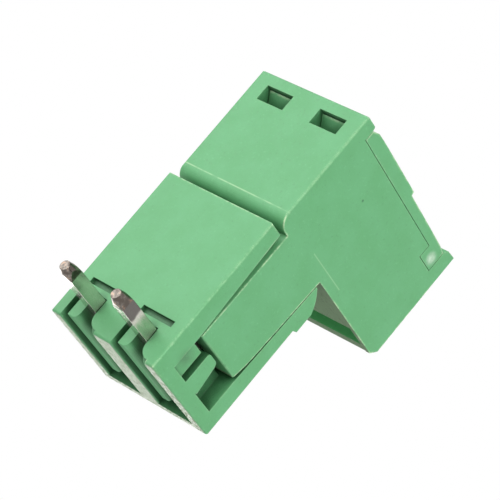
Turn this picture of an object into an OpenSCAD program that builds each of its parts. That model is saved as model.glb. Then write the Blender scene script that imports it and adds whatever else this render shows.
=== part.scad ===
// Two-pole pluggable screw terminal: a right-angle header for a circuit board, open at both sides,
// with its screw plug pushed home.
// Millimetres. The origin is on the board face, at the middle of the row of solder pins.
// +Z points away from the board, and the plug pulls off along +Y.

/* [Poles] */
// Distance from one pole to the next
pitch = 5.08; // [5:0.01:6.2]

/* [Solder pins] */
// Side of the square pin wire
pin_size = 1; // [0.8:0.05:1.05]
// Length of pin below the board face
solder_length = 4.3; // [3:0.1:5]
// Inside radius of the bend in each pin
bend_radius = 0.4; // [0.3:0.05:0.6]
// From the back of the header to the middle of the pin row
pin_setback = 1.8; // [1.6:0.05:1.9]
// From the header's mouth back to the tip of each contact pin
pin_recess = 1.5; // [1:0.1:2.5]
// Length of the tapered end of each solder pin
taper_length = 1.1; // [0.6:0.1:1.6]
// Diameter of the flat left at a pin's end
pin_end_dia = 0.74; // [0.6:0.02:0.9]
// Gap at each side of a pin in its hole
pin_fit = 0.02; // [0.01:0.01:0.05]

/* [Header housing] */
// Length from the back face to the mouth
header_length = 12; // [11.5:0.1:13]
// Height of the roof above the board face
header_height = 7.85; // [7.6:0.05:8.4]
// Depth of the block behind the cavity
block_back = 3.5; // [3.3:0.05:3.8]
// Thickness of the back wall beside the slots
back_wall = 1.13; // [1.05:0.01:1.25]
// Thickness of the board-side plate at its root
plate_root = 1.55; // [1.4:0.05:1.7]
// Thickness of the board-side plate at the mouth
plate_mouth = 1.2; // [1:0.05:1.35]
// Thickness of the roof at its root
roof_root = 1.25; // [1.1:0.05:1.5]
// Thickness of the roof at the mouth
roof_mouth = 0.95; // [0.85:0.05:1.05]
// Height of the latch lip above the roof
lip_height = 0.45; // [0.3:0.05:0.6]
// Length of the lip and nose, back from the mouth
lip_length = 3.05; // [2.6:0.05:3.4]
// Wall left between a side slot and the channel behind it
slot_wall = 0.4; // [0.35:0.05:0.5]
// Radius of the curved nose in front of the lip
nose_radius = 3.36; // [3.3:0.02:3.5]
// Width of the rib on the pin side of each channel
rib_width = 1.75; // [1.65:0.05:1.8]
// Width of each channel in the back
channel_width = 2.45; // [2.3:0.05:2.5]
// Height of each channel
channel_height = 7.1; // [6.9:0.05:7.2]
// Depth of a channel above its pin
channel_shallow = 0.8; // [0.7:0.05:0.85]
// Gap between a pin and the rib beside it
pin_side_gap = 0.03; // [0.02:0.01:0.1]
// Width of the web that backs each pin
web_width = 0.88; // [0.8:0.02:0.95]
// Height of that web
web_height = 6.4; // [6:0.1:6.6]
// Distance that the web stands back from the back face
web_setback = 0.32; // [0.28:0.02:0.4]
// Rounding of each rib on its pin side, at the back face
rib_round = 0.95; // [0.8:0.05:1]
// Rounding of the lower and upper edges of the back face
back_round = 0.2; // [0.1:0.02:0.3]
// Rounding of the outer edges of both housings
edge_round = 0.14; // [0.1:0.02:0.2]

/* [Plug housing] */
// Gap between the header's mouth and the plug's rear face
mate_gap = 0.3; // [0.2:0.05:0.5]
// Gap between the tongue and what it slides past
tongue_play = 0.1; // [0.06:0.01:0.15]
// Gap between the tongue's end and the block behind the cavity
tongue_gap = 0.24; // [0.15:0.01:0.3]
// Height of the plug's underside above the board face
plug_lift = 0.45; // [0.3:0.05:0.6]
// Height of the clamp block
block_height = 15.3; // [15.1:0.05:16.2]
// Radius of the edge under the rear face
heel_radius = 1; // [0.7:0.05:1.1]
// Wall of the tongue above and below the contacts
tongue_wall = 0.55; // [0.45:0.05:0.65]
// Wall across the tongue's end
end_wall = 0.6; // [0.4:0.05:0.8]
// Wall left at each side of the grip groove
cheek = 0.35; // [0.3:0.05:0.45]
// Height of the grip groove
groove_height = 1.9; // [1.5:0.1:2.1]
// Depth of the grip groove
groove_depth = 1.4; // [1:0.1:1.5]
// Height of the grip edge above the groove
grip_height = 1.37; // [1.2:0.01:1.6]
// Radius of the grip edge
grip_radius = 0.75; // [0.5:0.05:1]
// Thickness of the wall over the screws
top_wall = 1.25; // [1.15:0.05:1.5]
// Diameter of the hole over each screw
driver_hole_dia = 3.6; // [3.3:0.1:3.7]
// Thickness of the lip under the cover
sill = 1.15; // [1:0.05:1.25]
// Width of each latch window in the underside
window_width = 2.5; // [2.3:0.05:2.7]
// Length of each latch window
window_length = 1.2; // [1.1:0.05:1.25]

/* [Cover] */
// Thickness of the cover at its foot
cover_thickness = 1.15; // [1.05:0.05:1.2]
// Gap between the cover and the housing round it
cover_fit = 0.04; // [0.02:0.01:0.06]
// Gap between the cover and the cages
cover_gap = 0.3; // [0.2:0.05:0.9]
// Height of each wire entry at the outer face
entry_height = 4.6; // [4.2:0.1:4.8]
// Width of each wire entry at the outer face
entry_width = 4.2; // [3.9:0.05:4.3]

/* [Clamps] */
// Inside width of each clamp chamber
chamber_width = 4.1; // [4.06:0.02:4.3]
// Wall between the rear face and each chamber
rear_wall = 2.5; // [2.4:0.05:2.6]
// Height of the chamber floor above the plug's underside
chamber_floor = 2.75; // [2.7:0.05:2.9]
// Gap between a cage and its chamber
cage_fit = 0.08; // [0.06:0.01:0.1]
// Thickness of a cage's sides
cage_wall = 0.45; // [0.4:0.01:0.47]
// Thickness of a cage's floor
cage_floor = 0.9; // [0.8:0.05:1]
// Thickness of the threaded top of a cage
nut_thickness = 1.8; // [1.6:0.05:1.9]
// Length of a cage along the wire
cage_length = 4.9; // [4.6:0.05:5]
// Height that a fully open clamp leaves for the wire
wire_space = 3; // [2.8:0.05:3.1]
// Thread diameter of the clamp screws
screw_dia = 3; // [2.5:0.1:3]
// Gap round a screw in its thread
thread_fit = 0.05; // [0.03:0.01:0.08]
// Diameter of a screw's head
head_dia = 4; // [3.8:0.02:4]
// Height of a screw's head
head_height = 1.5; // [1.3:0.05:1.55]

/* [Contacts] */
// Thickness of the contact strip
strip = 0.4; // [0.3:0.02:0.45]
// Width of each contact
contact_width = 2.3; // [2:0.05:2.35]
// Thickness of the folded tail inside the cage
tail_thickness = 0.8; // [0.6:0.05:0.85]
// Gap between the pin and each finger
finger_gap = 0.03; // [0.02:0.01:0.05]

/* [Hidden] */
$fn = 48;

green = "mediumseagreen";
metal = "silver";
poles = 2;
width = poles * pitch;
cut = 1;                     // how far a cut runs past the face that it opens

// Header, measured from its back face and from the board face
cavity_top = header_height - roof_root;
tongue_bottom = plate_root + tongue_play;
tongue_top = cavity_top - tongue_play;
pin_level = (tongue_bottom + tongue_top) / 2 - 0.15;
bar_bottom = pin_level - pin_size / 2 - 0.25;
bar_top = bar_bottom + 1.2;
bar_top_at_wall = bar_top + 0.3;
channel_depth = pin_setback + pin_size / 2 + 0.1;
channel_right = rib_width + channel_width;
pad_depth = 0.2;             // shallow step beside the lower side slot
pad_width = 1.2;
nose_drop = 2.7;             // from the roof down to the centre of the nose arc
nose_lift = 0.8;             // from the roof down to the tip of the nose
nose_reach = sqrt(pow(nose_radius, 2) - pow(nose_drop - nose_lift, 2)) + 0.08;
nose_centre = [header_length - nose_reach, header_height - nose_drop];
roof_slope = (roof_root - roof_mouth) / (header_length - block_back);
recess_depth = 0.3;          // shallow recesses in the board face
lead_step = 0.28;            // each rib stands back by this much at the board face, below lead_height
lead_height = 0.45;

// Plug, measured from its rear face and from its underside
tongue_length = header_length + mate_gap - block_back - tongue_gap;
tongue_low = tongue_bottom - plug_lift;
tongue_high = tongue_top - plug_lift;
lead_in = 0.2;               // drop of the tongue's upper edge at its end
pin_in_plug = pin_level - plug_lift;
rear_skin = 0.9;             // wall between the rear face and the contacts
cage_gap = 0.15;             // from each chamber's back wall to the cage
seam_lean = 0.25;            // the seam leans back by this much at its top
seam_foot = rear_wall + cage_gap + cage_length + cover_gap + seam_lean;
block_depth = seam_foot + cover_thickness;
foot_depth = 1;              // the cover's feet reach this far back into the walls
foot_height = 1.65;
foot_top = block_height - top_wall;
window_front = seam_foot - 0.95;
window_back = window_front + window_length;
hook_pocket = 1.15;          // height of the space above the sill for a latch hook
hook_fit = 0.1;              // gap round each hook
hook_crest = 0.35;           // from the underside up to the crest of a hook
hook_nose = sill + hook_pocket - hook_fit - 0.3;
screw_y = rear_wall + cage_gap + cage_length / 2;
tail_low = chamber_floor + cage_fit + cage_floor + wire_space;
nut_low = tail_low + tail_thickness + 0.15;
cage_height = nut_low + nut_thickness - chamber_floor - cage_fit;
head_top = foot_top - 0.1;
shank_low = tail_low + tail_thickness + 0.05;
throat_width = contact_width + 0.2;
throat_height = wire_space + 0.2;

function pole_x(k) = (k - (poles - 1) / 2) * pitch;
function pole_edge(k) = k * pitch - width / 2;
function pin_x(k) = pole_edge(k) + rib_width + pin_side_gap + pin_size / 2;
function shift(points, lift) = [for (p = points) p + [0, lift]];
function back_along(points) = [for (i = [len(points) - 1:-1:0]) points[i]];

// Middle line of a contact finger: flared mouth, point of touch, then out to its root
function finger(front, touch, root, side) = [[front, touch + side * 0.35], [front + 0.5, touch + side * 0.05],
    [front + 1, touch], [front + 1.5, touch + side * 0.05], [-1.2, root], [rear_skin + 0.1, root]];

function arc(centre, r, from, to, steps = 12) =
    [for (i = [0:steps]) let (a = from + (to - from) * i / steps) centre + r * [cos(a), sin(a)]];

module in_header() translate([0, -pin_setback, 0]) children();
module in_plug() translate([0, header_length + mate_gap - pin_setback, plug_lift]) children();

// A side outline in (y, z), swept along X between two places
module across(from, to) translate([from, 0, 0]) rotate([90, 0, 90]) linear_extrude(to - from) children();

// A block that reaches from x, y, z to the far corner
module box(low, high) translate(low) cube(high - low);

module rounded_rect(low, high, r) {
    size = high - low;
    translate(low + [r, 0]) square([size.x - 2 * r, size.y]);
    translate(low + [0, r]) square([size.x, size.y - 2 * r]);
    for (x = [low.x + r, high.x - r], y = [low.y + r, high.y - r]) translate([x, y]) circle(r, $fn = 24);
}

// Keeps what lies inside a block whose upright and lengthwise edges are rounded
module soften(low, high, r) {
    intersection() {
        children();
        translate([0, 0, low.z]) linear_extrude(high.z - low.z)
            rounded_rect([low.x, low.y], [high.x, high.y], r);
        translate([0, high.y, 0]) rotate([90, 0, 0]) linear_extrude(high.y - low.y)
            rounded_rect([low.x, low.z], [high.x, high.z], r);
    }
}

// What has to go from a square corner at the origin to round it, with the body at -side in x and +y
module corner_cut(r, side = 1) {
    difference() {
        translate([side > 0 ? -r : 0, -cut]) square([r, r + cut]);
        translate([-side * r, r]) circle(r);
    }
}

// ---- Header ----

module header_outline() {
    tip = asin((nose_drop - nose_lift) / nose_radius);
    brow = asin((nose_drop + lip_height) / nose_radius);
    nose = arc(nose_centre, nose_radius, tip, brow);
    polygon(concat(
        arc([back_round, back_round], back_round, 180, 270, 6),
        [[header_length, 0], [header_length, plate_mouth], [block_back, plate_root],
            [block_back, cavity_top], [nose[0].x, header_height - roof_mouth]],
        nose,
        [[header_length - lip_length + 0.1, header_height + lip_height],
            [header_length - lip_length - 0.1, header_height]],
        arc([back_round, header_height - back_round], back_round, 90, 180, 6)));
}

// Section of one back channel: x from the pole's edge, y from the back face
module channel_outline(depth) {
    translate([rib_width, -cut]) square([channel_width, depth + cut]);
    translate([rib_width, 0]) corner_cut(rib_round);
    translate([channel_right, 0]) corner_cut(edge_round, -1);
}

module web_outline() {
    left = rib_width + pin_side_gap + pin_size + pin_fit;
    right = left + web_width;
    front = channel_depth + cut;
    polygon(concat(
        [[right, web_setback], [right, front], [left, front]],
        arc([left + 0.3, web_setback + 0.55], 0.3, 180, 270, 6) + [for (i = [0:6]) [0, -0.25 * i / 6]]));
}

module back_channel() {
    over_pin = pin_level + pin_size / 2 + 0.05;
    web_right = rib_width + pin_side_gap + pin_size + pin_fit + web_width;
    difference() {
        union() {
            translate([0, 0, -cut]) linear_extrude(over_pin + cut) channel_outline(channel_depth);
            linear_extrude(channel_height) channel_outline(channel_shallow);
        }
        linear_extrude(web_height) web_outline();
    }
    // deep groove beside the web
    box([web_right, 0, 0], [channel_right, channel_depth - 0.4, web_height + 0.3]);
    translate([rib_width, 0, -cut]) linear_extrude(cut + lead_height)
        translate([0, lead_step]) corner_cut(rib_round);
}

// Slots in the left side of the block behind the cavity, from the side face at x = 0 inwards
module side_slots(depth) {
    open_to = block_back + cut;
    // lower slot, with a shallow pad beside it
    box([-cut, back_wall, plate_root + pad_width], [depth, open_to, bar_bottom]);
    box([-cut, back_wall, plate_root], [pad_depth, open_to, plate_root + pad_width + 0.01]);
    box([-cut, block_back - 0.33, plate_root], [depth, open_to, bar_bottom]);
    // upper slot
    across(-cut, depth) polygon([[back_wall, bar_top_at_wall - 0.15], [back_wall + 0.08, bar_top_at_wall],
        [block_back - 0.35, bar_top], [open_to, bar_top], [open_to, cavity_top], [back_wall, cavity_top]]);
    // rounded nose of the bar between the slots
    across(-cut, depth) polygon([[block_back - 0.35, bar_top + 0.01], [block_back - 0.08, bar_top - 0.12],
        [block_back, bar_top - 0.3], [open_to, bar_top - 0.3], [open_to, bar_top + 0.01]]);
    across(-cut, depth) polygon([[block_back - 0.2, bar_bottom - 0.01], [block_back - 0.06, bar_bottom + 0.06],
        [block_back, bar_bottom + 0.2], [open_to, bar_bottom + 0.2], [open_to, bar_bottom - 0.01]]);
}

module header_housing() {
    color(green) in_header() difference() {
        soften([-width / 2, 0, 0], [width / 2, header_length, header_height + lip_height], edge_round)
            across(-width / 2, width / 2) header_outline();
        translate([-width / 2, 0, 0]) side_slots(rib_width - slot_wall);
        mirror([1, 0, 0]) translate([-width / 2, 0, 0]) side_slots(pitch - channel_right - slot_wall);
        for (k = [0:poles - 1]) translate([pole_edge(k), 0, 0]) {
            back_channel();
            box([rib_width - 0.75, channel_depth + 0.45, -cut],
                [channel_right - 0.15, channel_depth + 0.9, recess_depth]);
        }
        for (k = [0:poles - 1]) translate([pin_x(k), 0, pin_level])
            box([-pin_size / 2 - pin_fit, pin_setback, -pin_size / 2 - pin_fit],
                [pin_size / 2 + pin_fit, block_back + cut, pin_size / 2 + pin_fit]);
    }
}

// Square wire with a right-angle bend: the leg runs down through the board, the blade into the plug
module pin_outline() {
    half = pin_size / 2;
    blade_end = header_length - pin_recess;
    bend = [pin_setback + half + bend_radius, pin_level - half - bend_radius];
    translate([pin_setback - half, -solder_length]) square([pin_size, solder_length + bend.y]);
    translate([bend.x, pin_level - half]) square([blade_end - bend.x, pin_size]);
    difference() {
        intersection() {
            translate(bend) circle(bend_radius + pin_size);
            translate([bend.x - bend_radius - pin_size, bend.y])
                square([bend_radius + pin_size, bend_radius + pin_size]);
        }
        translate(bend) circle(bend_radius);
    }
}

// Cone that takes the corners off the end of a square wire; the end is at the origin, the wire above
module end_taper(length) {
    reach = pin_size * sqrt(0.5) + 0.01;
    rotate_extrude() polygon([[0, 0], [pin_end_dia / 2, 0], [reach, length], [reach, 40], [0, 40]]);
}

module header_pin(k) {
    blade_end = header_length - pin_recess;
    color(metal) in_header() translate([pin_x(k), 0, 0]) difference() {
        across(-pin_size / 2, pin_size / 2) pin_outline();
        difference() {
            box([-1, pin_setback - 1, -solder_length - 1], [1, pin_setback + 1, -solder_length + taper_length]);
            translate([0, pin_setback, -solder_length]) end_taper(taper_length);
        }
        difference() {
            box([-1, blade_end - 0.7, pin_level - 1], [1, blade_end + 1, pin_level + 1]);
            translate([0, blade_end, pin_level]) rotate([90, 0, 0]) end_taper(0.7);
        }
    }
}

// ---- Plug ----

module plug_outline() {
    polygon(concat(
        [[-tongue_length, tongue_low], [0, tongue_low + 0.12]],
        arc([heel_radius, heel_radius], heel_radius, 180, 270),
        [[block_depth - 0.15, 0], [block_depth, 0.15], [block_depth, sill - 0.1], [block_depth - 0.35, sill],
            [seam_foot, sill], [seam_foot - seam_lean, foot_top - foot_height],
            [seam_foot - seam_lean - foot_depth, foot_top - foot_height],
            [seam_foot - seam_lean - foot_depth, foot_top], [block_depth - 0.8, foot_top],
            [block_depth - 0.4, foot_top + 0.3], [block_depth - 0.33, block_height],
            [block_depth - 1.95, block_height], [block_depth - 2.05, block_height - 0.08],
            [0.55, block_height - 0.08], [0, block_height - 0.6]],
        [[0, tongue_high + tongue_length * roof_slope + 0.07],
            [-tongue_length + 2.3, tongue_high + 2.3 * roof_slope],
            [-tongue_length + 1.15, tongue_high], [-tongue_length, tongue_high - lead_in]]));
}

// Space for one contact, from the window at the tongue's end to the clamp chamber
module contact_passage(k) {
    half = contact_width / 2 + 0.1;
    low = tongue_low + tongue_wall;
    translate([pole_x(k), 0, 0]) {
        box([-half, -tongue_length + end_wall, low], [half, rear_wall, tongue_high - tongue_wall]);
        box([-half, rear_skin, low], [half, rear_wall + cut, tail_low + tail_thickness + 0.1]);
    }
    translate([pin_x(k), -tongue_length, pin_in_plug])
        box([-0.9, -cut, -0.9], [0.9, end_wall + cut, 0.9]);
}

// Chamber of one clamp, open towards the cover, with the screwdriver hole over it
module clamp_chamber(k) {
    half = chamber_width / 2;
    translate([pole_x(k), 0, 0]) {
        box([-half, rear_wall, chamber_floor], [half, block_depth + cut, foot_top]);
        translate([0, screw_y, foot_top - 0.1]) cylinder(d = driver_hole_dia, h = top_wall + cut);
        translate([0, screw_y, block_height - 0.35])
            cylinder(d1 = driver_hole_dia, d2 = driver_hole_dia + 1, h = 0.5);
    }
}

// Window in the underside, and the pocket above it that takes the cover's hook
module latch_window(k) {
    translate([pole_x(k), 0, 0]) {
        box([-window_width / 2, window_front, -cut], [window_width / 2, window_back, sill + 0.1]);
        box([-window_width / 2 - 0.05, window_front - 0.5, sill - 0.01],
            [window_width / 2 + 0.05, block_depth + cut, sill + hook_pocket]);
    }
}

// Groove under the rounded grip edge, between thin cheeks
module grip_groove() {
    top = block_height - 0.08;
    across(-width / 2 + cheek, width / 2 - cheek) {
        translate([-cut, top - grip_height - groove_height]) square([groove_depth + cut, groove_height]);
        difference() {
            translate([-cut, top - grip_radius]) square([grip_radius + cut, grip_radius + cut]);
            translate([grip_radius, top - grip_radius]) circle(grip_radius);
        }
    }
}

module plug_housing() {
    color(green) in_plug() difference() {
        soften([-width / 2, -tongue_length, 0], [width / 2, block_depth, block_height], edge_round)
            across(-width / 2, width / 2) plug_outline();
        grip_groove();
        for (k = [0:poles - 1]) {
            contact_passage(k);
            clamp_chamber(k);
            latch_window(k);
        }
    }
}

module cover_outline() {
    back = seam_foot + cover_fit;
    head = foot_top - foot_height + cover_fit;
    step = tail_low - wire_space / 2 + entry_height / 2 + 0.32;
    polygon([[back, sill + cover_fit], [block_depth - 0.35, sill + cover_fit], [block_depth - 0.05, sill + 0.65],
        [block_depth - 0.03, sill + 1.4], [block_depth - 0.2, step], [block_depth - 0.47, step + 0.08],
        [block_depth - 0.68, foot_top - 0.85], [block_depth - 0.8, foot_top - cover_fit],
        [back - seam_lean - foot_depth, foot_top - cover_fit], [back - seam_lean - foot_depth, head],
        [back - seam_lean, head]]);
}

// Funnel of one wire entry, narrowing from the outer face to the cage's mouth
module wire_entry(k) {
    middle = tail_low - wire_space / 2;
    inner = seam_foot - seam_lean - cut;
    outer = block_depth + 0.01;
    translate([pole_x(k), 0, 0]) intersection() {
        translate([0, 0, middle - entry_height]) linear_extrude(2 * entry_height)
            polygon([[-throat_width / 2, inner], [throat_width / 2, inner],
                [entry_width / 2, outer], [-entry_width / 2, outer]]);
        across(-entry_width, entry_width)
            polygon([[inner, middle - throat_height / 2], [inner, middle + throat_height / 2],
                [outer, middle + entry_height / 2], [outer, middle - entry_height / 2]]);
    }
}

// Latch hook: an arm over the sill, and a ramped barb whose crest stands in the window
module latch_hook(k) {
    half = window_width / 2 - hook_fit;
    root = seam_foot + 0.3;
    catch = window_back - hook_fit;
    arm_top = sill + hook_pocket - hook_fit;
    tip = catch - (hook_nose - hook_crest);
    translate([pole_x(k), 0, 0]) across(-half, half)
        polygon([[root, sill + cover_fit], [root, arm_top], [tip, arm_top], [tip, hook_nose],
            [catch, hook_crest], [catch, sill + cover_fit]]);
}

module plug_cover() {
    half = chamber_width / 2 + cover_fit;
    color(green) in_plug() {
        difference() {
            soften([-width / 2, 0, 0], [width / 2, block_depth + 0.001, block_height], edge_round)
                across(-width / 2, width / 2) cover_outline();
            for (k = [0:poles - 1]) {
                wire_entry(k);
                translate([pole_x(k), 0, 0]) box([-half, 0, foot_top - foot_height - 0.3],
                    [half, seam_foot - seam_lean + cover_fit, foot_top]);
            }
        }
        for (k = [0:poles - 1]) latch_hook(k);
    }
}

// ---- Clamps and contacts ----

// Fork fingers, the web behind them, and the tail that runs into the clamp, as one outline in (y, z)
module contact_outline() {
    front = -tongue_length + end_wall + 0.15;
    reach = pin_size / 2 + finger_gap + strip / 2;
    spread = (tongue_high - tongue_low) / 2 - tongue_wall - strip / 2 - 0.1;
    middle = (tongue_low + tongue_high) / 2;
    tail_top = tail_low + tail_thickness;
    tail_end = screw_y + cage_length / 2 - 0.3;
    high = finger(front, pin_in_plug + reach, middle + spread, 1);
    low = finger(front, pin_in_plug - reach, middle - spread, -1);
    polygon(concat(
        shift(high, strip / 2),
        [[rear_skin + 0.1, tail_top], [tail_end, tail_top], [tail_end, tail_low],
            [rear_skin + 0.1 + strip, tail_low], [rear_skin + 0.1 + strip, middle - spread - strip / 2]],
        back_along(shift(low, -strip / 2)),
        shift(low, strip / 2),
        back_along(shift(high, -strip / 2))));
}

module contact(k) {
    color(metal) in_plug() translate([pole_x(k), 0, 0])
        across(-contact_width / 2, contact_width / 2) contact_outline();
}

module clamp_cage(k) {
    half = chamber_width / 2 - cage_fit;
    low = chamber_floor + cage_fit;
    color(metal) in_plug() translate([pole_x(k), screw_y, 0]) difference() {
        translate([0, cage_length / 2, 0]) rotate([90, 0, 0]) linear_extrude(cage_length) difference() {
            rounded_rect([-half, low], [half, low + cage_height], 0.5);
            rounded_rect([-half + cage_wall, low + cage_floor], [half - cage_wall, nut_low], 0.3);
        }
        translate([0, 0, nut_low - 0.5]) cylinder(d = screw_dia, h = nut_thickness + 1);
    }
}

module clamp_screw(k) {
    r = screw_dia / 2 - thread_fit;
    neck = head_top - head_height;
    color(metal) in_plug() translate([pole_x(k), screw_y, 0]) difference() {
        rotate_extrude() polygon([[0, shank_low], [r - 0.3, shank_low], [r, shank_low + 0.3], [r, neck],
            [head_dia / 2, neck], [head_dia / 2, head_top - 0.25], [head_dia / 2 - 0.25, head_top], [0, head_top]]);
        box([-head_dia, -0.4, head_top - 0.8], [head_dia, 0.4, head_top + cut]);
    }
}

module header_pin_1() header_pin(0);
module header_pin_2() header_pin(1);
module contact_1() contact(0);
module contact_2() contact(1);
module clamp_cage_1() clamp_cage(0);
module clamp_cage_2() clamp_cage(1);
module clamp_screw_1() clamp_screw(0);
module clamp_screw_2() clamp_screw(1);

header_housing();
header_pin_1();
header_pin_2();
plug_housing();
plug_cover();
contact_1();
contact_2();
clamp_cage_1();
clamp_cage_2();
clamp_screw_1();
clamp_screw_2();
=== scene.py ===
import math
from collections import namedtuple

import bpy
from mathutils import Matrix, Quaternion, Vector


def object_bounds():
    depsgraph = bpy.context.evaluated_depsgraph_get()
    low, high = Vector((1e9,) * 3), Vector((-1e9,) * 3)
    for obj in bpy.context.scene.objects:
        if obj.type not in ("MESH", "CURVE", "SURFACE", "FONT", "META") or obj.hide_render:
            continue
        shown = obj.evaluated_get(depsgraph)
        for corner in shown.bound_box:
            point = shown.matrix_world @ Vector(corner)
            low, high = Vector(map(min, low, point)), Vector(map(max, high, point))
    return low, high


MM = 0.001
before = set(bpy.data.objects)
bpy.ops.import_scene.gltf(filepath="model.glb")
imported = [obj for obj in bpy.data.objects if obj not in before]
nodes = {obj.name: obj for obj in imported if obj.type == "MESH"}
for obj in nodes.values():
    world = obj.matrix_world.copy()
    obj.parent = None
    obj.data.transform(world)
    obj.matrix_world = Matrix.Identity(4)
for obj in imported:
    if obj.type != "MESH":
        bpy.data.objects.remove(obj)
cad_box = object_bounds()

# The object's outer faces: the side the camera sees, the back, the pin tips, the front and the top.
SIDE, REAR, TIP = cad_box[0]
FRONT, TOP = cad_box[1][1:]
HEADER_FRONT = REAR + nodes["header_housing"].dimensions.y

# Heights and places that no part of the object passes, for zones without an end.
BELOW_ALL = -1
ABOVE_ALL = 1


# ---- Camera at the photograph's angle: below the board face, behind the header's -X side ----

AZIMUTH = -160.2
ELEVATION = -44.5
ROLL = 144.2
DISTANCE = 181.6 * MM
AIM = Vector((-0.24, 9.66, 5.00)) * MM
LENS = 201.1
SENSOR = 36


def add_camera():
    """A long lens that looks at AIM from that azimuth and elevation, turned by ROLL about its axis."""
    data = bpy.data.cameras.new("camera")
    data.sensor_width = SENSOR
    data.lens = LENS
    data.clip_start = 0.01
    data.clip_end = 20
    cam = bpy.data.objects.new("camera", data)
    bpy.context.scene.collection.objects.link(cam)
    turn, tilt = math.radians(AZIMUTH), math.radians(ELEVATION)
    back = Vector((math.cos(turn) * math.cos(tilt), math.sin(turn) * math.cos(tilt), math.sin(tilt)))
    level = (Vector((0, 0, 1)) - back * back.z).normalized()
    up = Quaternion(back, math.radians(ROLL)) @ level
    axes = Matrix((up.cross(back), up, back)).transposed().to_4x4()
    cam.matrix_world = Matrix.Translation(AIM + back * DISTANCE) @ axes
    bpy.context.scene.camera = cam


# ---- Node helpers ----

class Nodes:
    """A material's or the world's node tree, with short ways to add and join nodes."""

    def __init__(self, tree):
        self.tree = tree

    def add(self, kind, **settings):
        node = self.tree.nodes.new(kind)
        for key, value in settings.items():
            setattr(node, key, value)
        return node

    def put(self, socket, value):
        """Links a socket to the value where that is a socket too, and sets it otherwise."""
        if isinstance(value, bpy.types.NodeSocket):
            self.tree.links.new(value, socket)
        else:
            socket.default_value = value

    def math(self, op, a, b=0.0, clamp=False):
        node = self.add("ShaderNodeMath", operation=op, use_clamp=clamp)
        self.put(node.inputs[0], a)
        self.put(node.inputs[1], b)
        return node.outputs[0]

    def times(self, *factors):
        product = factors[0]
        for factor in factors[1:]:
            product = self.math("MULTIPLY", product, factor)
        return product

    def span(self, value, low, high, out_low=0.0, out_high=1.0):
        """Runs smoothly from out_low to out_high while the value runs from low to high."""
        node = self.add("ShaderNodeMapRange", interpolation_type="SMOOTHSTEP")
        for socket, number in zip(node.inputs, (value, low, high, out_low, out_high)):
            self.put(socket, number)
        return node.outputs[0]

    def mix(self, factor, a, b):
        node = self.add("ShaderNodeMix", data_type="RGBA")
        self.put(node.inputs["Factor"], factor)
        self.put(node.inputs[6], a)
        self.put(node.inputs[7], b)
        return node.outputs[2]

    def noise(self, vector, scale, detail=2.0, rough=0.5):
        """Noise with that many cells per metre."""
        node = self.add("ShaderNodeTexNoise")
        self.put(node.inputs["Vector"], vector)
        node.inputs["Scale"].default_value = scale
        node.inputs["Detail"].default_value = detail
        node.inputs["Roughness"].default_value = rough
        return node.outputs["Fac"]

    def place(self):
        return self.add("ShaderNodeTexCoord").outputs["Object"]

    def stretch(self, vector, scale):
        node = self.add("ShaderNodeMapping")
        self.put(node.inputs["Vector"], vector)
        node.inputs["Scale"].default_value = scale
        return node.outputs[0]

    def distance(self, vector, point):
        node = self.add("ShaderNodeVectorMath", operation="DISTANCE")
        self.put(node.inputs[0], vector)
        node.inputs[1].default_value = point
        return node.outputs["Value"]

    def parts(self, vector):
        node = self.add("ShaderNodeSeparateXYZ")
        self.put(node.inputs[0], vector)
        return node.outputs["X"], node.outputs["Y"], node.outputs["Z"]

    def line(self, y, z, start, end, width):
        """1 on the stretch between two (y, z) points, 0 beyond that width from it."""
        long = math.dist(start, end)
        ay, az = (end[0] - start[0]) / long, (end[1] - start[1]) / long
        dy = self.math("SUBTRACT", y, start[0])
        dz = self.math("SUBTRACT", z, start[1])
        along = self.math("ADD", self.times(dy, ay), self.times(dz, az))
        off = self.math("SUBTRACT", self.times(dy, az), self.times(dz, ay))
        near = self.span(self.math("ABSOLUTE", off), width * 0.4, width, 1, 0)
        return self.times(near, self.math("GREATER_THAN", along, 0), self.math("LESS_THAN", along, long))

    def edges(self, reach):
        """1 on convex edges, falling to 0 at that distance from them."""
        flat, gain = 0.96, 3.2
        node = self.add("ShaderNodeAmbientOcclusion", inside=True, samples=6, only_local=True)
        node.inputs["Distance"].default_value = reach
        return self.math("MULTIPLY", self.math("SUBTRACT", flat, node.outputs["AO"]), gain, clamp=True)

    def hollows(self, reach):
        """1 in the open, falling to 0 deep inside hollows narrower than that reach."""
        deep, open_air = 0.35, 0.95
        node = self.add("ShaderNodeAmbientOcclusion", samples=8)
        node.inputs["Distance"].default_value = reach
        return self.span(node.outputs["AO"], deep, open_air)

    def facing(self, way):
        """1 on faces that look that way, 0 on all others."""
        turned_off, full_on = 0.9, 0.98
        normal = self.add("ShaderNodeNewGeometry").outputs["True Normal"]
        turn = self.add("ShaderNodeVectorTransform", vector_type="NORMAL")
        turn.convert_from, turn.convert_to = "WORLD", "OBJECT"
        self.put(turn.inputs[0], normal)
        node = self.add("ShaderNodeVectorMath", operation="DOT_PRODUCT")
        self.put(node.inputs[0], turn.outputs[0])
        node.inputs[1].default_value = way
        return self.span(node.outputs["Value"], turned_off, full_on)

    def rounded(self, radius):
        node = self.add("ShaderNodeBevel", samples=6)
        node.inputs["Radius"].default_value = radius
        return node.outputs[0]

    def bump(self, height, strength, distance, normal):
        node = self.add("ShaderNodeBump")
        self.put(node.inputs["Height"], height)
        node.inputs["Strength"].default_value = strength
        node.inputs["Distance"].default_value = distance
        self.put(node.inputs["Normal"], normal)
        return node.outputs[0]


def new_material(name):
    mat = bpy.data.materials.new(name)
    mat.use_nodes = True
    tree = mat.node_tree
    return mat, Nodes(tree), tree.nodes["Principled BSDF"]


# ---- Green plastic ----

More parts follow.
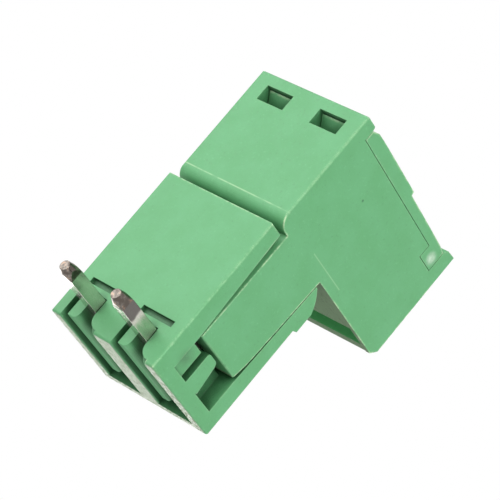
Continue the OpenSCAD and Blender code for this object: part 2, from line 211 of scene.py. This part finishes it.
GREEN = (0.142, 0.458, 0.200, 1)
GREEN_DEEP = (0.128, 0.430, 0.178, 1)
GREEN_PALE = (0.30, 0.66, 0.36, 1)
# Pale of the painted edge and crease highlights, and of a scratch.
HIGHLIGHT_AND_SCRATCH_PALE = (0.66, 0.90, 0.55, 1)
# Dark streaks that break up the painted sheen on faces that look backward.
SHEEN_STREAK_DARK = (0.07, 0.085, 0.05, 1)
SPECK = (0.03, 0.12, 0.05, 1)
SHADE = (0.008, 0.06, 0.016, 1)
GATE_PALE = (0.74, 0.88, 0.74, 1)
# Darker green of a round patch on the header's side.
PATCH_DARK = (0.075, 0.20, 0.09, 1)
# Painted whitish sheen on the header's rear rib faces.
RIB_SHEEN_PALE = (0.58, 0.55, 0.43, 1)
# Painted brownish grey sheen on the plug's rear face.
REAR_SHEEN_BROWN = (0.17, 0.15, 0.11, 1)

BACKWARD = (0, -1, 0)       # the way the header's rear face looks
SIDEWARD = (-1, 0, 0)       # the way the visible side looks
BORDER = 0.1 * MM           # over which one zone of a face fades into the next

# Noise cells per metre, from soft clouds to fine pores.
CLOUDS = 420
WAVES = 900
STRANDS = 1200
MOTTLE = 1400
PATCHES = 1500
BLOTCHES = 2600
GRAINS = 5200
PORES = 20000

# Shade deep in hollows narrower than reach, from y = begin on.
Hollow = namedtuple("Hollow", "shade reach begin")
# A painted sheen: a tint on faces that look backward, above z = lowest and behind y = last.
Sheen = namedtuple("Sheen", "tint amount lowest last")
# A round mark, strongest at its point, and a straight one between two (y, z) points on the visible side.
Spot = namedtuple("Spot", "point radius tint most")
Scratch = namedtuple("Scratch", "start end width tint most")


def mottled(n, place, grain):
    """Two greens in soft clouds, with pale and dark grains."""
    cloud = n.noise(place, CLOUDS, 4, 0.6)
    colour = n.mix(n.span(cloud, 0.33, 0.67), GREEN, GREEN_DEEP)
    colour = n.mix(n.span(grain, 0.56, 0.80, 0, 0.30), colour, GREEN_PALE)
    return n.mix(n.span(grain, 0.24, 0.42, 0.22, 0), colour, SPECK)


def paint_edge_highlights(n, colour, place, zone):
    """Painted edge highlights: pale broken lines along the convex edges, where fine burrs catch the light,
    as strong as the zone says.
    """
    patchy = n.span(n.noise(place, PATCHES, 4, 0.7), 0.38, 0.62, 0.12, 1.0)
    return n.mix(n.times(n.edges(0.13 * MM), patchy, zone), colour, HIGHLIGHT_AND_SCRATCH_PALE)


def paint_rear_sheen(n, colour, place, sheen):
    """Painted sheen on the faces that look backward: their tint, broken by dark streaks. Also gives where
    the streaks are pits without shine.
    """
    y, z = n.parts(place)[1:]
    behind = n.span(y, sheen.last, sheen.last + BORDER, 1, 0)
    above = n.span(z, sheen.lowest, sheen.lowest + BORDER)
    where = n.times(n.facing(BACKWARD), behind, above)
    streaks = n.noise(n.stretch(place, (5000, 5000, 2600)), 1, 4, 0.75)
    colour = n.mix(n.times(where, sheen.amount), colour, sheen.tint)
    colour = n.mix(n.times(where, n.span(streaks, 0.50, 0.70, 0, 0.55)), colour, SHEEN_STREAK_DARK)
    return colour, n.times(where, n.span(streaks, 0.42, 0.56, 0, 0.97))


def paint_crease_highlight(n, colour, place, crease_highlight):
    """A painted highlight along a crease: a thin broken pale line across the board side at that y."""
    y, z = n.parts(place)[1:]
    off = n.math("ABSOLUTE", n.math("SUBTRACT", y, crease_highlight))
    thin = n.span(off, 0.02 * MM, 0.07 * MM, 1, 0)
    on_board_side = n.span(z, 0.6 * MM, 0.7 * MM, 1, 0)
    broken = n.span(n.noise(place, WAVES, 3), 0.35, 0.6, 0.08, 0.38)
    return n.mix(n.times(thin, on_board_side, broken), colour, HIGHLIGHT_AND_SCRATCH_PALE)


def shade_hollows(n, colour, y, hollow):
    shade = n.span(y, hollow.begin, hollow.begin + 0.5 * MM, 0, hollow.shade)
    return n.mix(n.hollows(hollow.reach), n.mix(shade, colour, SHADE), colour)


def add_scratch(n, colour, place, scratch):
    x, y, z = n.parts(place)
    thin = n.line(y, z, scratch.start, scratch.end, scratch.width)
    broken = n.span(n.noise(place, STRANDS), 0.4, 0.6, 0.2, scratch.most)
    on_side = n.span(x, SIDE + 0.06 * MM, SIDE + 0.08 * MM, 1, 0)
    return n.mix(n.times(thin, broken, on_side), colour, scratch.tint)


def add_spot(n, colour, place, grain, spot):
    near = n.span(n.distance(place, spot.point), 0, spot.radius, spot.most, 0)
    return n.mix(n.times(near, n.span(grain, 0.35, 0.6, 0.7, 1.0)), colour, spot.tint)


def green_plastic(name, highlight_zone, hollow, sheen=None, spots=(), scratches=(), crease_highlight=None):
    """Moulded plastic with painted edge highlights, and the painted rear sheen, crease highlight, scratches
    and spots that are given.
    """
    mat, n, shader = new_material(name)
    place = n.place()
    x, y, z = n.parts(place)
    grain = n.noise(place, GRAINS, 3, 0.65)
    fine = n.noise(place, PORES, 2, 0.6)
    # Edge highlights are painted into the colour here.
    colour = paint_edge_highlights(n, mottled(n, place, grain), place, highlight_zone(n, x, y, z))
    # Faces that look backward, other than the rear plane itself, have no shine.
    dull = n.times(n.facing(BACKWARD), n.span(y, REAR + 0.05 * MM, REAR + 0.1 * MM))
    # Faces that look backward get a painted sheen.
    if sheen:
        colour, pits = paint_rear_sheen(n, colour, place, sheen)
        dull = n.math("MAXIMUM", dull, pits)
    # A painted highlight where the board face bends into the heel.
    if crease_highlight:
        colour = paint_crease_highlight(n, colour, place, crease_highlight)
    colour = shade_hollows(n, colour, y, hollow)
    for scratch in scratches:
        colour = add_scratch(n, colour, place, scratch)
    for spot in spots:
        colour = add_spot(n, colour, place, grain, spot)
    n.put(shader.inputs["Base Color"], colour)
    n.put(shader.inputs["Roughness"], n.math("MAXIMUM", dull, n.span(grain, 0.3, 0.7, 0.40, 0.56)))
    shader.inputs["IOR"].default_value = 1.5
    shader.inputs["Subsurface Weight"].default_value = 0.05
    shader.inputs["Subsurface Radius"].default_value = (0.3, 0.8, 0.4)
    shader.inputs["Subsurface Scale"].default_value = 0.5 * MM
    height = n.math("ADD", n.times(grain, 0.7), n.times(fine, 0.3))
    n.put(shader.inputs["Normal"], n.bump(height, 0.4, 0.02 * MM, n.rounded(0.05 * MM)))
    return mat


def header_edges(n, x, y, z):
    """Edge highlights are painted on the header along its visible side and its front, mostly at the board
    face.
    """
    side = n.span(x, SIDE + 0.68 * MM, SIDE + 0.88 * MM, 1, 0)
    front = n.span(y, HEADER_FRONT - 0.4 * MM, HEADER_FRONT - 0.2 * MM, 0, 0.6)
    board = n.span(z, 0.9 * MM, 1.4 * MM, 1.0, 0.15)
    return n.times(n.math("MAXIMUM", side, front), board)


def plug_edges(n, x, y, z):
    """Edge highlights are painted on the plug along its visible side, but beside the cover only at the
    board edge.
    """
    back = n.span(y, FRONT - 2.95 * MM, FRONT - 2.35 * MM, 0.8, 0.1)
    board = n.span(z, 1.0 * MM, 1.4 * MM, 1.0, 0.1)
    side = n.span(x, SIDE + 0.28 * MM, SIDE + 0.48 * MM, 1.0, 0.1)
    return n.times(n.math("MAXIMUM", back, board), side)


def cover_edges(n, x, y, z):
    """Edge highlights are painted on the cover toward its front."""
    return n.span(y, FRONT - 1.25 * MM, FRONT - 0.95 * MM, 0.1, 0.6)


# ---- Plated metal ----

TIN = (0.67, 0.64, 0.58, 1)
NICKEL = (0.72, 0.69, 0.62, 1)
ZINC = (0.70, 0.72, 0.75, 1)
BRONZE = (0.45, 0.28, 0.19, 1)
# Painted dark reflection on the pins' visible faces.
DARK_REFLECTION_GREY = (0.11, 0.10, 0.095, 1)
TIP_DARK = (0.12, 0.10, 0.085, 1)

# Noise cells per metre along X, Y and Z: few along the way in which the metal was drawn or rolled.
DRAWN_ALONG_Z = (9000, 9000, 500)
ROLLED_ALONG_X = (1200, 9000, 9000)
ROLLED_ALONG_Y = (9000, 1200, 9000)
EVEN = (5000, 5000, 5000)

# A painted dark reflection on the visible face between two heights, with another tint on the tip below
# them.
DarkReflection = namedtuple("DarkReflection", "low high tint tip")


def paint_pin_reflection(n, colour, place, dark_reflection):
    """A painted dark reflection: a dull band with wavy ends on the visible face. Also a darker tip with
    blotches of bronze.
    """
    z = n.parts(place)[2]
    wavy = n.math("ADD", z, n.times(n.noise(place, WAVES, 2), 0.8 * MM))
    begin = n.span(wavy, dark_reflection.low, dark_reflection.low + BORDER)
    end = n.span(wavy, dark_reflection.high - 0.3 * MM, dark_reflection.high, 1, 0)
    colour = n.mix(n.times(begin, end, n.facing(SIDEWARD), 0.9), colour, dark_reflection.tint)
    blotch = n.noise(place, BLOTCHES, 4, 0.7)
    at_tip = n.span(z, dark_reflection.low, dark_reflection.low + BORDER, 1, 0)
    colour = n.mix(n.times(at_tip, n.span(blotch, 0.42, 0.62, 1, 0.72)), colour, dark_reflection.tip)
    return n.mix(n.times(at_tip, n.span(blotch, 0.55, 0.62, 0, 0.5)), colour, BRONZE)


def plated_metal(name, base, rough, along, dark_reflection=None):
    """Plated metal with drawn or rolled lines, mottled a little, and the painted dark reflection that is
    given.
    """
    mat, n, shader = new_material(name)
    place = n.place()
    lines = n.noise(n.stretch(place, along), 1, 3, 0.6)
    mottle = n.noise(place, MOTTLE, 3, 0.6)
    dark = tuple(part * 0.8 for part in base[:3]) + (1,)
    colour = n.mix(n.span(mottle, 0.35, 0.75), base, dark)
    if dark_reflection:
        colour = paint_pin_reflection(n, colour, place, dark_reflection)
    n.put(shader.inputs["Base Color"], colour)
    shader.inputs["Metallic"].default_value = 1
    n.put(shader.inputs["Roughness"], n.span(lines, 0.3, 0.7, rough * 0.7, rough * 1.3))
    height = n.math("ADD", lines, n.times(mottle, 0.5))
    n.put(shader.inputs["Normal"], n.bump(height, 0.12, 0.01 * MM, n.rounded(0.06 * MM)))
    return mat


# ---- What wears which material ----

def assign(names, mat):
    for name in names:
        obj = nodes[name]
        obj.data.materials.clear()
        obj.data.materials.append(mat)


def dress_header():
    hollow = Hollow(shade=0.85, reach=2 * MM, begin=BELOW_ALL)
    # Painted sheen: the rear rib faces are tinted whitish.
    rib_sheen = Sheen(RIB_SHEEN_PALE, amount=0.6, lowest=BELOW_ALL, last=REAR + 0.05 * MM)
    # A darker round patch on the visible side.
    patch = Spot((SIDE, REAR + 2.15 * MM, 1.95 * MM), 1.1 * MM, PATCH_DARK, most=0.75)
    assign(["header_housing"], green_plastic("header_green", header_edges, hollow, rib_sheen, [patch]))


def dress_plug():
    hollow = Hollow(shade=0.7, reach=1.5 * MM, begin=12.5 * MM)
    # Painted sheen: the plug's rear face above 6 mm is tinted brownish grey.
    rear = Sheen(REAR_SHEEN_BROWN, amount=0.7, lowest=6 * MM, last=ABOVE_ALL)
    speck = Spot((SIDE, FRONT - 3.6 * MM, TOP - 10.7 * MM), 0.16 * MM, SPECK, most=0.9)
    scratch = Scratch((11.3 * MM, 4.7 * MM), (11.3 * MM, 8.8 * MM), 0.06 * MM, HIGHLIGHT_AND_SCRATCH_PALE, most=0.22)
    # Where the board face bends into the rounded heel, a pale line is painted as a highlight.
    crease_highlight = 11.5 * MM
    green = green_plastic("plug_green", plug_edges, hollow, rear, [speck], [scratch], crease_highlight)
    assign(["plug_housing"], green)


def dress_cover():
    hollow = Hollow(shade=0.5, reach=1.3 * MM, begin=BELOW_ALL)
    gate = Spot((SIDE, FRONT - 1.75 * MM, TOP - 1.9 * MM), 0.66 * MM, GATE_PALE, most=0.85)
    dot = Spot((SIDE, FRONT - 1.5 * MM, TOP - 3.1 * MM), 0.22 * MM, SPECK, most=0.9)
    assign(["plug_cover"], green_plastic("cover_green", cover_edges, hollow, spots=[gate, dot]))


def dress_metal():
    # Each pin's painted dark reflection reaches up to its own height.
    for name, reflection_top in (("header_pin_1", 2.7 * MM), ("header_pin_2", 1.4 * MM)):
        dark_reflection = DarkReflection(TIP + 0.95 * MM, TIP + reflection_top, DARK_REFLECTION_GREY, TIP_DARK)
        assign([name], plated_metal(name + "_tin", TIN, 0.2, DRAWN_ALONG_Z, dark_reflection))
    assign(["contact_1", "contact_2"], plated_metal("contact_strip", TIN, 0.3, ROLLED_ALONG_X))
    assign(["clamp_cage_1", "clamp_cage_2"], plated_metal("cage_metal", NICKEL, 0.3, ROLLED_ALONG_Y))
    assign(["clamp_screw_1", "clamp_screw_2"], plated_metal("screw_steel", ZINC, 0.28, EVEN))


# ---- Stage and light ----

AMBIENT = 0.38
MIDDLE = Vector((0, 9, 5)) * MM
FLOOR_SIZE = 6
FLOOR_HEIGHT = -0.3


def add_floor():
    mat, _, shader = new_material("floor_white")
    shader.inputs["Base Color"].default_value = (0.92, 0.92, 0.92, 1)
    shader.inputs["Roughness"].default_value = 0.9
    bpy.ops.mesh.primitive_plane_add(size=FLOOR_SIZE, location=(0, 0, FLOOR_HEIGHT))
    floor = bpy.context.object
    floor.name = "floor"
    floor.data.materials.append(mat)


def add_world():
    """White where it is seen, mirrored or shone through, and a soft even light elsewhere."""
    world = bpy.data.worlds.new("studio")
    bpy.context.scene.world = world
    world.use_nodes = True
    n = Nodes(world.node_tree)
    back = world.node_tree.nodes["Background"]
    path = n.add("ShaderNodeLightPath")
    seen = n.math("MAXIMUM", path.outputs["Is Camera Ray"], path.outputs["Is Transmission Ray"])
    seen = n.math("MAXIMUM", seen, path.outputs["Is Glossy Ray"])
    back.inputs["Color"].default_value = (1, 1, 1, 1)
    n.put(back.inputs["Strength"], n.span(seen, 0, 1, AMBIENT, 1.0))


def add_lamp(name, toward, distance, size, glow):
    """A square lamp of that glow (1 looks white), facing the object from the side that toward gives."""
    data = bpy.data.lights.new(name, "AREA")
    data.shape = "SQUARE"
    data.size = size
    data.energy = glow * math.pi * size * size
    lamp = bpy.data.objects.new(name, data)
    bpy.context.scene.collection.objects.link(lamp)
    way = Vector(toward).normalized()
    spot = Matrix.Translation(MIDDLE + way * distance)
    lamp.matrix_world = spot @ way.to_track_quat("Z", "Y").to_matrix().to_4x4()
    lamp.visible_camera = False


def add_lights():
    add_lamp("key", toward=(-0.69, 0.24, -0.68), distance=0.5, size=0.36, glow=10.2)
    add_lamp("below", toward=(0.67, 0.24, -0.70), distance=0.28, size=0.2, glow=1.9)
    add_lamp("far_side", toward=(0.67, -0.26, 0.70), distance=0.6, size=0.42, glow=2.6)
    add_lamp("overhead", toward=(0.1, -0.1, 1), distance=1.2, size=1.2, glow=1.6)


add_camera()
dress_header()
dress_plug()
dress_cover()
dress_metal()
add_floor()
add_world()
add_lights()
bpy.context.scene.view_settings.view_transform = "Standard"
